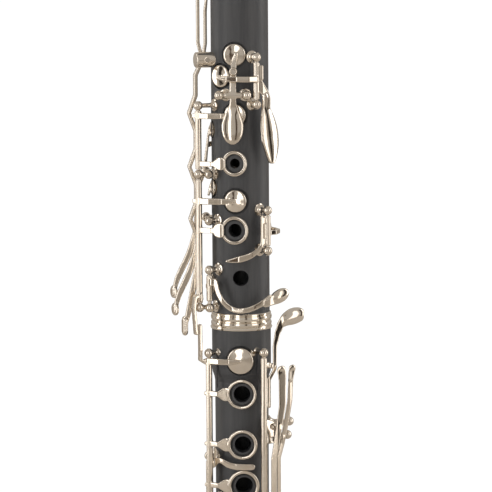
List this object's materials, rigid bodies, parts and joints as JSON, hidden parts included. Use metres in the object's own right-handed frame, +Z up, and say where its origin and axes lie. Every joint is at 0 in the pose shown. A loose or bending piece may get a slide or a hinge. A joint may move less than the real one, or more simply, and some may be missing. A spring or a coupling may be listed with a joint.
{
  "type": "clarinet",
  "caption": "Boehm-system clarinet: jointed dark wooden tube with bell, barrel and mouthpiece, and nickel-plated sprung keys, finger rings and levers.",
  "frame": {"origin": "middle of the bell's mouth, on its rim plane", "axes": "+Z up the bore towards the mouthpiece, -Y towards the front finger holes, +X towards the left-hand little-finger levers"},
  "size_m": [0.079, 0.079, 0.672],
  "materials": {
    "body_wood": "satin, near-black with fine straight grain",
    "ebonite": "polished black",
    "cane": "smooth pale cane",
    "cork": "matte cork",
    "rod_steel": "smooth turned steel",
    "blued_steel": "blued spring steel",
    "screw_steel": "turned, slotted",
    "plated_ring": "polished nickel plate",
    "plated_key": "polished nickel plate",
    "pad_skin": "smooth skin over felt"
  },
  "bodies": {
    "instrument_body": {"barrel_body": "body_wood", "bell": "body_wood", "ferrules": "plated_ring", "lever_bracket": "plated_key", "ligature_screws": "plated_ring", "ligature_strap": "plated_ring", "lower_hinge_steels": "rod_steel", "lower_joint_body": "body_wood", "lower_posts": "plated_key", "lower_socket_ring": "plated_ring", "mouthpiece": "ebonite", "needle_springs": "blued_steel", "reed": "cane", "tenon_corks": "cork", "thumb_rest": "plated_key", "thumb_rest_screws": "screw_steel", "trill_key_pillar": "plated_key", "upper_hinge_steels": "rod_steel", "upper_joint_body": "body_wood", "upper_posts": "plated_key", "vent_tubes": "plated_key"},
    "register": {"register_key": "plated_key", "register_pad": "pad_skin"},
    "throat_a": {"throat_a_key": "plated_key", "throat_a_pad": "pad_skin", "adjusting_screw": "screw_steel"},
    "throat_g_sharp": {"throat_g_sharp_key": "plated_key", "throat_g_sharp_pad": "pad_skin"},
    "index_ring": {"index_ring_key": "plated_key", "index_ring_pad": "pad_skin"},
    "middle_ring": {"middle_ring_key": "plated_key", "middle_ring_pad": "pad_skin"},
    "side_1": {"side_key_1": "plated_key", "side_pad_1": "pad_skin"},
    "side_2": {"side_key_2": "plated_key", "side_pad_2": "pad_skin"},
    "side_3": {"side_key_3": "plated_key", "side_pad_3": "pad_skin"},
    "side_4": {"side_key_4": "plated_key", "side_pad_4": "pad_skin"},
    "upper_sliver": {"upper_sliver_key": "plated_key", "upper_sliver_pad": "pad_skin"},
    "c_sharp": {"c_sharp_key": "plated_key", "c_sharp_pad": "pad_skin"},
    "thumb_ring": {"thumb_ring_key": "plated_key"},
    "lower_ring": {"lower_ring_key": "plated_key", "lower_ring_pad": "pad_skin"},
    "lower_sliver": {"lower_sliver_key": "plated_key", "lower_sliver_pad": "pad_skin"},
    "a_flat": {"a_flat_key": "plated_key", "a_flat_pad": "pad_skin"},
    "f_sharp": {"f_sharp_key": "plated_key", "f_sharp_pad": "pad_skin"},
    "f_c": {"f_c_key": "plated_key", "f_c_pad": "pad_skin"},
    "e_b": {"e_b_key": "plated_key", "e_b_pad": "pad_skin"},
    "left_f_sharp": {"left_f_sharp_lever": "plated_key"},
    "left_e": {"left_e_lever": "plated_key"},
    "left_f": {"left_f_lever": "plated_key"}
  },
  "joints": [
    {"name": "register_key_rock", "type": "hinge", "parent": "instrument_body", "child": "register", "pos_m": [0, 0.019, 0.48], "axis": [-1, 0, 0], "range_deg": [0, 4], "stiffness_Nm_per_rad": 0.02, "springref_deg": -17.19},
    {"name": "throat_a_key_rock", "type": "hinge", "parent": "instrument_body", "child": "throat_a", "pos_m": [0, -0.0195, 0.4459], "axis": [1, 0, 0], "range_deg": [0, 2.2], "stiffness_Nm_per_rad": 0.02, "springref_deg": -17.19},
    {"name": "throat_g_sharp_key_turn", "type": "hinge", "parent": "instrument_body", "child": "throat_g_sharp", "pos_m": [0.00829, -0.0182, 0.453], "axis": [0, 0, 1], "range_deg": [0, 7], "stiffness_Nm_per_rad": 0.02, "springref_deg": -17.19},
    {"name": "index_ring_key_turn", "type": "hinge", "parent": "instrument_body", "child": "index_ring", "pos_m": [-0.02079, -0.012, 0.423], "axis": [0, 0, 1], "range_deg": [0, 4], "stiffness_Nm_per_rad": 0.02, "springref_deg": -17.19},
    {"name": "middle_ring_key_turn", "type": "hinge", "parent": "instrument_body", "child": "middle_ring", "pos_m": [-0.02079, -0.012, 0.373], "axis": [0, 0, 1], "range_deg": [0, 4], "stiffness_Nm_per_rad": 0.02, "springref_deg": -17.19},
    {"name": "side_1_key_rock", "type": "hinge", "parent": "instrument_body", "child": "side_1", "pos_m": [-0.01664, -0.00146, 0.383], "axis": [0.0872, -0.9962, 0], "range_deg": [0, 4], "stiffness_Nm_per_rad": 0.02, "springref_deg": -17.19},
    {"name": "side_2_key_rock", "type": "hinge", "parent": "instrument_body", "child": "side_2", "pos_m": [-0.01664, -0.00146, 0.4063], "axis": [0.0872, -0.9962, 0], "range_deg": [0, 3.2], "stiffness_Nm_per_rad": 0.02, "springref_deg": -17.19},
    {"name": "side_3_key_rock", "type": "hinge", "parent": "instrument_body", "child": "side_3", "pos_m": [-0.01664, -0.00146, 0.463], "axis": [0.0872, -0.9962, 0], "range_deg": [0, 1.3], "stiffness_Nm_per_rad": 0.02, "springref_deg": -17.19},
    {"name": "side_4_key_rock", "type": "hinge", "parent": "instrument_body", "child": "side_4", "pos_m": [-0.01664, -0.00146, 0.463], "axis": [0.0872, -0.9962, 0], "range_deg": [0, 1.6], "stiffness_Nm_per_rad": 0.02, "springref_deg": -17.19},
    {"name": "upper_sliver_key_turn", "type": "hinge", "parent": "instrument_body", "child": "upper_sliver", "pos_m": [0.01337, -0.01593, 0.378], "axis": [0, 0, -1], "range_deg": [0, 8], "stiffness_Nm_per_rad": 0.02, "springref_deg": -17.19},
    {"name": "c_sharp_key_turn", "type": "hinge", "parent": "instrument_body", "child": "c_sharp", "pos_m": [-0.0157, -0.01318, 0.349], "axis": [0, 0, 1], "range_deg": [0, 7], "stiffness_Nm_per_rad": 0.02, "springref_deg": -17.19},
    {"name": "thumb_ring_key_turn", "type": "hinge", "parent": "instrument_body", "child": "thumb_ring", "pos_m": [-0.01196, 0.01425, 0.42], "axis": [0, 0, -1], "range_deg": [0, 5], "stiffness_Nm_per_rad": 0.02, "springref_deg": -17.19},
    {"name": "lower_ring_key_turn", "type": "hinge", "parent": "instrument_body", "child": "lower_ring", "pos_m": [-0.01634, -0.01205, 0.279], "axis": [0, 0, 1], "range_deg": [0, 4.5], "stiffness_Nm_per_rad": 0.02, "springref_deg": -17.19},
    {"name": "lower_sliver_key_turn", "type": "hinge", "parent": "instrument_body", "child": "lower_sliver", "pos_m": [-0.01679, -0.00648, 0.251], "axis": [0, 0, 1], "range_deg": [0, 7], "stiffness_Nm_per_rad": 0.02, "springref_deg": -17.19},
    {"name": "a_flat_key_turn", "type": "hinge", "parent": "instrument_body", "child": "a_flat", "pos_m": [-0.01634, -0.01205, 0.225], "axis": [0, 0, 1], "range_deg": [0, 7], "stiffness_Nm_per_rad": 0.02, "springref_deg": -17.19},
    {"name": "f_sharp_key_turn", "type": "hinge", "parent": "instrument_body", "child": "f_sharp", "pos_m": [-0.01634, -0.01205, 0.18], "axis": [0, 0, 1], "range_deg": [0, 8], "stiffness_Nm_per_rad": 0.02, "springref_deg": -17.19},
    {"name": "f_c_key_turn", "type": "hinge", "parent": "instrument_body", "child": "f_c", "pos_m": [0.0111, -0.01818, 0.207], "axis": [0, 0, -1], "range_deg": [0, 11], "stiffness_Nm_per_rad": 0.02, "springref_deg": -17.19},
    {"name": "e_b_key_turn", "type": "hinge", "parent": "instrument_body", "child": "e_b", "pos_m": [0.0157, -0.01318, 0.177], "axis": [0, 0, -1], "range_deg": [0, 9.5], "stiffness_Nm_per_rad": 0.02, "springref_deg": -17.19},
    {"name": "left_f_sharp_lever_turn", "type": "hinge", "parent": "instrument_body", "child": "left_f_sharp", "pos_m": [0.0111, -0.01818, 0.278], "axis": [0, 0, 1], "range_deg": [0, 5]},
    {"name": "left_e_lever_rock", "type": "hinge", "parent": "instrument_body", "child": "left_e", "pos_m": [0.01854, -0.00986, 0.2793], "axis": [-0.4695, -0.8829, 0], "range_deg": [0, 1]},
    {"name": "left_f_lever_rock", "type": "hinge", "parent": "instrument_body", "child": "left_f", "pos_m": [0.01748, -0.0093, 0.2723], "axis": [-0.4695, -0.8829, 0], "range_deg": [0, 3]}
  ],
  "couplings": [
    {"joint": "left_f_sharp_lever_turn", "follows": "f_sharp_key_turn", "ratio": 0.6},
    {"joint": "left_e_lever_rock", "follows": "e_b_key_turn", "ratio": 0.1},
    {"joint": "left_f_lever_rock", "follows": "f_c_key_turn", "ratio": 0.25}
  ]
}
